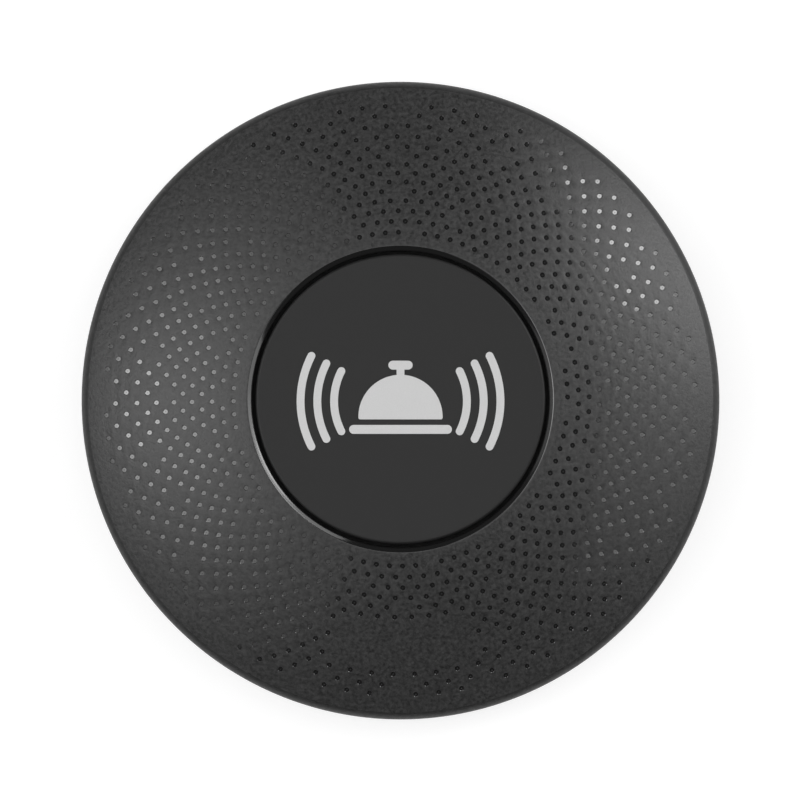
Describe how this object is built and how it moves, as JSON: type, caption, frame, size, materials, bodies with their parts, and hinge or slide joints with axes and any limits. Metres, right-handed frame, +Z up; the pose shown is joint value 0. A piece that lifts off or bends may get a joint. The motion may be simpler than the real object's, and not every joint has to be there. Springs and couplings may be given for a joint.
{
  "type": "waiter call button",
  "caption": "Low round table-top call button: a domed, dimpled cover round a large push button, with a sprung press, a tact switch and a bayonet battery cap underneath.",
  "frame": {"origin": "on the table, in the middle of the four feet", "axes": "+Z up through the button, -Y towards the person who presses it, +X to their right"},
  "size_m": [0.09, 0.09, 0.0192],
  "materials": {
    "cover_plastic": "satin black moulding, fine spark texture",
    "button_plastic": "satin black moulding",
    "base_plastic": "satin black moulding, spark texture",
    "white_gloss": "white gloss",
    "seal_rubber": "matt",
    "foot_rubber": "matt",
    "seal_silicone": "matt translucent grey",
    "screw_steel": "zinc plated",
    "spring_steel": "drawn wire",
    "contact_metal": "nickel plated",
    "battery_steel": "fine brushed",
    "board_laminate": "green solder mask",
    "switch_plastic": "matt",
    "plunger_plastic": "gloss",
    "chip_resin": "matt moulded epoxy",
    "capacitor_ceramic": "matt ceramic"
  },
  "bodies": {
    "housing": {"top_cover": "cover_plastic", "base_shell": "base_plastic", "rim_seal": "seal_rubber", "rubber_feet": "foot_rubber", "base_screws": "screw_steel", "board_screws": "screw_steel", "circuit_board": "board_laminate", "switch_base": "switch_plastic", "switch_plate": "contact_metal", "switch_terminals": "contact_metal", "snap_dome": "contact_metal", "controller_chip": "chip_resin", "radio_can": "contact_metal", "crystal": "contact_metal", "indicator_led": "white_gloss", "board_resistors": "chip_resin", "board_capacitors": "capacitor_ceramic", "antenna_strip": "contact_metal", "battery_can": "battery_steel", "battery_lid": "battery_steel", "battery_gasket": "switch_plastic", "battery_holder": "switch_plastic", "contact_plus": "contact_metal", "contact_minus": "contact_metal", "seal_membrane": "seal_silicone", "return_spring": "spring_steel"},
    "button": {"call_button": "button_plastic"},
    "plunger": {"switch_plunger": "plunger_plastic"},
    "battery_cap": {"battery_cap": "base_plastic", "battery_cap_seal": "seal_rubber"}
  },
  "joints": [
    {"name": "button_press", "type": "slide", "parent": "housing", "child": "button", "axis": [0, 0, -1], "range_m": [0, 0.0006], "stiffness_N_per_m": 500, "springref_m": -0.001, "deforming": ["return_spring", "seal_membrane"]},
    {"name": "plunger_press", "type": "slide", "parent": "housing", "child": "plunger", "axis": [0, 0, -1], "range_m": [0, 0.00025], "stiffness_N_per_m": 100, "springref_m": -0.0005, "deforming": ["snap_dome"]},
    {"name": "battery_cap_turn", "type": "hinge", "parent": "housing", "child": "battery_cap", "pos_m": [0, 0, 0.0025], "axis": [0, 0, -1], "range_deg": [0, 40]}
  ],
  "couplings": [
    {"joint": "plunger_press", "follows": "button_press", "ratio": 0.41667}
  ]
}
